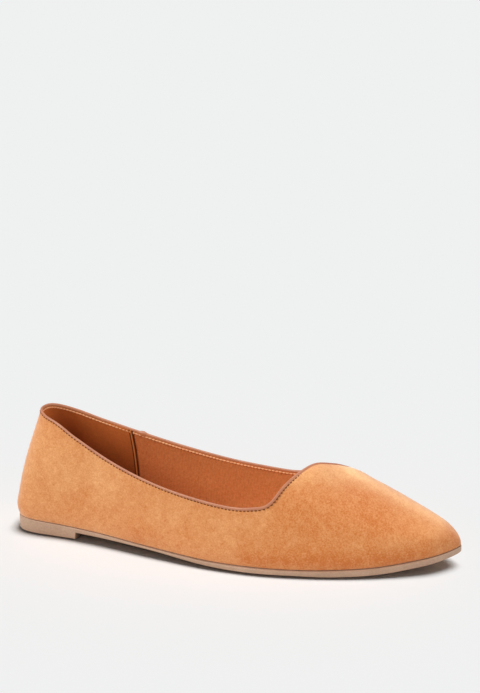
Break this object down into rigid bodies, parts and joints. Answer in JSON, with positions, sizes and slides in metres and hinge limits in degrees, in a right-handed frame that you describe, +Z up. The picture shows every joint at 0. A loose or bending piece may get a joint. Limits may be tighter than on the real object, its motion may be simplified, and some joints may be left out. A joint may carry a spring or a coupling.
{
  "type": "ballet flat shoe",
  "caption": "Pointed-toe slip-on ballet flat with a suede-look upper, bound topline, sock insole and a thin moulded rubber sole with a low heel.",
  "frame": {"origin": "bottom centre of the bounding box, on the ground", "axes": "+X along the shoe from heel to toe, +Y to the medial (inner) side of this right shoe, +Z up"},
  "size_m": [0.253, 0.076, 0.0693],
  "materials": {
    "rubber": "satin taupe moulded rubber",
    "suede": "matt brushed microfibre suede, tan",
    "sock": "matt textile sock, orange brown",
    "tape": "smooth folded binding tape, pinkish brown"
  },
  "bodies": {
    "root": {"outsole": "rubber", "upper": "suede", "insole": "sock", "topline_binding": "tape"}
  },
  "joints": []
}
